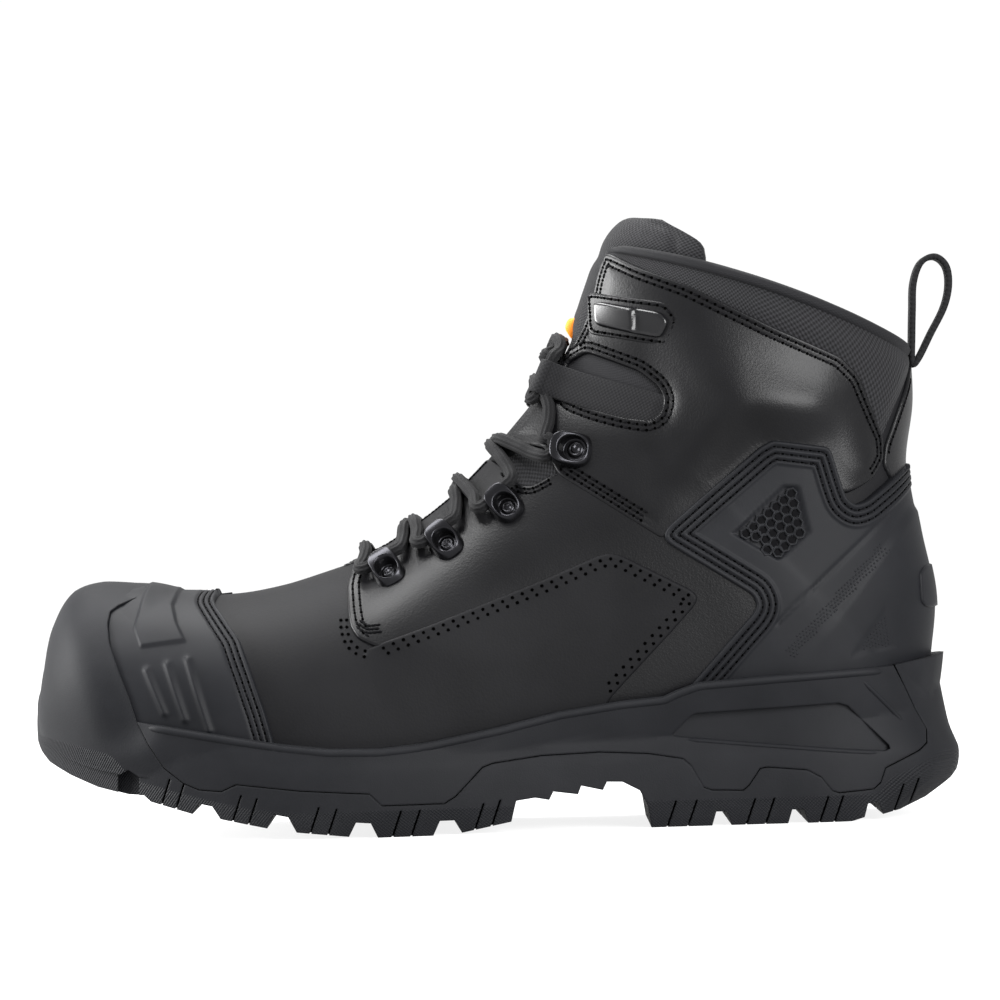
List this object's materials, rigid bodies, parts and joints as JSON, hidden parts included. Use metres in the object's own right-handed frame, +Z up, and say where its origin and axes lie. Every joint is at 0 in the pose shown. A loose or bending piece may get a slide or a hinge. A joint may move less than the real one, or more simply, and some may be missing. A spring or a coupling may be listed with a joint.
{
  "type": "safety boot",
  "caption": "Ankle-high laced safety boot with a rubber toe bumper, moulded heel counter, lace loops, padded tongue and lugged outsole.",
  "frame": {"origin": "middle of the bounding box on the floor", "axes": "+X from toe to heel, -Y towards the outer side of the foot, +Z up"},
  "size_m": [0.31, 0.1121, 0.2026],
  "materials": {
    "outsole_rubber": "matte moulded rubber",
    "midsole_foam": "matte foam with a fine skin",
    "upper_leather": "matte grained leather",
    "panel_leather": "smooth soft-gloss leather",
    "insole_cloth": "brushed cloth",
    "tongue_cloth": "padded woven cloth",
    "overlay_rubber": "matte moulded overlay",
    "holder_metal": "dark gunmetal",
    "webbing_cloth": "woven webbing",
    "lace_cloth": "braided cord"
  },
  "bodies": {
    "root": {"outsole": "outsole_rubber", "midsole": "midsole_foam", "upper": "upper_leather", "insole": "insole_cloth", "tongue": "tongue_cloth", "toe_cap": "overlay_rubber", "heel_counter": "overlay_rubber", "eyestay_outer": "panel_leather", "eyestay_inner": "panel_leather", "ankle_panel_outer": "panel_leather", "ankle_panel_inner": "panel_leather", "lace_plate_outer": "holder_metal", "lace_plate_inner": "holder_metal", "loop_1_outer": "holder_metal", "loop_1_inner": "holder_metal", "loop_2_outer": "holder_metal", "loop_2_inner": "holder_metal", "loop_3_outer": "holder_metal", "loop_3_inner": "holder_metal", "hook_outer": "holder_metal", "hook_inner": "holder_metal", "webbing_outer": "webbing_cloth", "webbing_inner": "webbing_cloth", "lace_bar": "lace_cloth", "lace_cross_1": "lace_cloth", "lace_cross_2": "lace_cloth", "lace_cross_3": "lace_cloth", "lace_cross_4": "lace_cloth", "lace_cross_5": "lace_cloth", "pull_loop": "webbing_cloth"}
  },
  "joints": []
}
